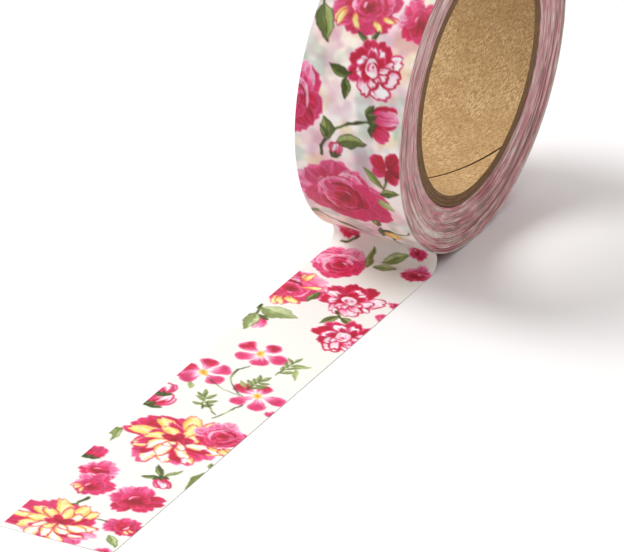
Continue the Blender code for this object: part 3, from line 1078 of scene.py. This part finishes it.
def ply(name, inner, outer, seam):
    """One kraft ribbon wound as a helix, its two long edges meeting in a butt seam. Its section runs up the
    inner face, over one rounded end, back down the outer face and over the other end."""
    rows = np.linspace(-CORE_HALF_WIDTH + END_BREAK, CORE_HALF_WIDTH - END_BREAK, PLY_ROWS)
    up = [(inner, y) for y in rows]
    rounded = (inner + END_BREAK, (inner + outer) / 2, outer - END_BREAK)
    over = [(radius, CORE_HALF_WIDTH) for radius in rounded]
    down = [(outer, y) for y in rows[::-1]]
    under = [(radius, -y) for radius, y in reversed(over)]
    depth, y = np.array(up + over + down + under).T
    count = len(depth)
    lean = np.tan(SEAM_SLANT) * y / inner
    spare = SEAM_WIDTH / cos(SEAM_SLANT) / inner
    turn = np.linspace(spare / 2, 2 * pi - spare / 2, PLY_COLUMNS)[:, None]
    angle = seam + turn + lean
    points = stacked(ROLL_X + depth * np.sin(angle), y, ROLL_Z + depth * np.cos(angle))
    arc = (turn + lean) * inner
    run = arc * sin(SEAM_SLANT) + y * cos(SEAM_SLANT)
    ribbon = -arc * cos(SEAM_SLANT) + y * sin(SEAM_SLANT)
    sheet = stacked(run, ribbon, depth)
    i, j = np.meshgrid(np.arange(PLY_COLUMNS - 1), np.arange(count), indexing="ij")
    here, here_up = i * count + j, i * count + (j + 1) % count
    around = stacked(here, here_up, here_up + count, here + count)
    first_out = PLY_ROWS + len(over)
    last_out = first_out + PLY_ROWS - 1
    level = np.arange(PLY_ROWS - 1)
    lip = stacked(level, last_out - level, last_out - 1 - level, level + 1)
    top = np.arange(PLY_ROWS - 1, first_out + 1)[None, :]
    bottom = np.append(np.arange(last_out, count), 0)[None, :]
    last = (PLY_COLUMNS - 1) * count
    faces = [around, lip, top[:, ::-1], bottom[:, ::-1], last + lip[:, ::-1], last + top, last + bottom]
    on_end = ((j >= PLY_ROWS - 1) & (j < first_out)) | (j >= last_out)
    slots = np.concatenate([on_end.ravel(), np.ones(sum(len(face) for face in faces[1:]))])
    return make_mesh(name, points, faces, None, sheet, [KRAFT, BOARD_END], slots)


for node, inner, outer, seam in zip(PLIES, PLY_FACES, PLY_FACES[1:], SEAMS):
    made = ply(node + "_board", inner, outer - PLY_GAP, seam)
    stands_for(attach(made, "roll"), node)

# ---------------- floor, light and camera, in metres

FLOOR_HALF = 6.0
FLOOR_DROP = 0.01 * MM  # keeps the floor clear of the tape's back
KEY_PLACE = (0.24, -1.05, 1.20)
KEY_SIZE = 0.85
KEY_POWER = 18.0
SKY_FROM = (-0.10, -0.42, 0.90)  # the side that the room's light comes from
SKY_BRIGHT = 1.02
SKY_TINT = (1.0, 0.975, 0.965, 1.0)
# The camera stands CAMERA_ROUND round from -Y and CAMERA_UP above the table, and leans by CAMERA_TILT
CAMERA_TARGET = Vector((-9.31, -1.99, 4.40)) * MM
CAMERA_DISTANCE = 1.4534
CAMERA_ROUND = radians(116.66)
CAMERA_UP = radians(28.69)
CAMERA_TILT = radians(2.67)
CAMERA_LENS = 657.0


def floor():
    """A plain pale table, with a faint mottle so that it isn't one flat value."""
    mesh = bpy.data.meshes.new("table")
    square = ((-1, -1), (1, -1), (1, 1), (-1, 1))
    mesh.from_pydata([(x * FLOOR_HALF, y * FLOOR_HALF, -FLOOR_DROP) for x, y in square], [], [(0, 1, 2, 3)])
    nodes = Nodes(bpy.data.materials.new("table_top"))
    mottle = nodes.noise(nodes.add("NewGeometry", "Position"), 30.0)
    colour = nodes.ramp(mottle, 0.3, 0.7, 0.90, 0.92)
    mesh.materials.append(nodes.finish(colour, 0.6, **{"Specular IOR Level": 0.2}))
    add_object("table", mesh)


def key_light():
    """A wide soft lamp, high on the camera's left, aimed at the roll."""
    lamp = bpy.data.lights.new("key", "AREA")
    lamp.shape = "DISK"
    lamp.size = KEY_SIZE
    lamp.energy = KEY_POWER
    made = add_object("key", lamp)
    made.location = KEY_PLACE
    aim = Vector((ROLL_X, 0.0, ROLL_Z)) * MM - made.location
    made.rotation_euler = aim.to_track_quat("-Z", "Y").to_euler()
    made.visible_camera = False


def surroundings():
    """Even light from everywhere, stronger from one side, like a room with a wide window."""
    world = bpy.data.worlds.new("studio")
    nodes = Nodes(world, "Background")
    inputs = {0: nodes.add("TexCoord", "Generated"), 1: SKY_FROM}
    facing = nodes.add("VectorMath", "Value", inputs, operation="DOT_PRODUCT")
    strength = nodes.ramp(facing, -0.5, 1.0, 0.0, SKY_BRIGHT)
    nodes.fill(nodes.surface, {"Color": SKY_TINT, "Strength": strength})
    bpy.context.scene.world = world


def camera():
    """A long lens, far off."""
    made = add_object("camera", bpy.data.cameras.new("camera"))
    made.data.lens = CAMERA_LENS
    made.data.clip_end = 10.0
    level = cos(CAMERA_UP)
    back = Vector((sin(CAMERA_ROUND) * level, -cos(CAMERA_ROUND) * level, sin(CAMERA_UP)))
    right = Vector((cos(CAMERA_ROUND), sin(CAMERA_ROUND), 0.0))
    tilted = right * cos(CAMERA_TILT) + back.cross(right) * sin(CAMERA_TILT)
    axes = Matrix((tilted, back.cross(tilted), back)).transposed()
    made.matrix_world = Matrix.Translation(CAMERA_TARGET + back * CAMERA_DISTANCE) @ axes.to_4x4()
    bpy.context.scene.camera = made


floor()
key_light()
surroundings()
camera()
bpy.context.scene.view_settings.view_transform = "Standard"
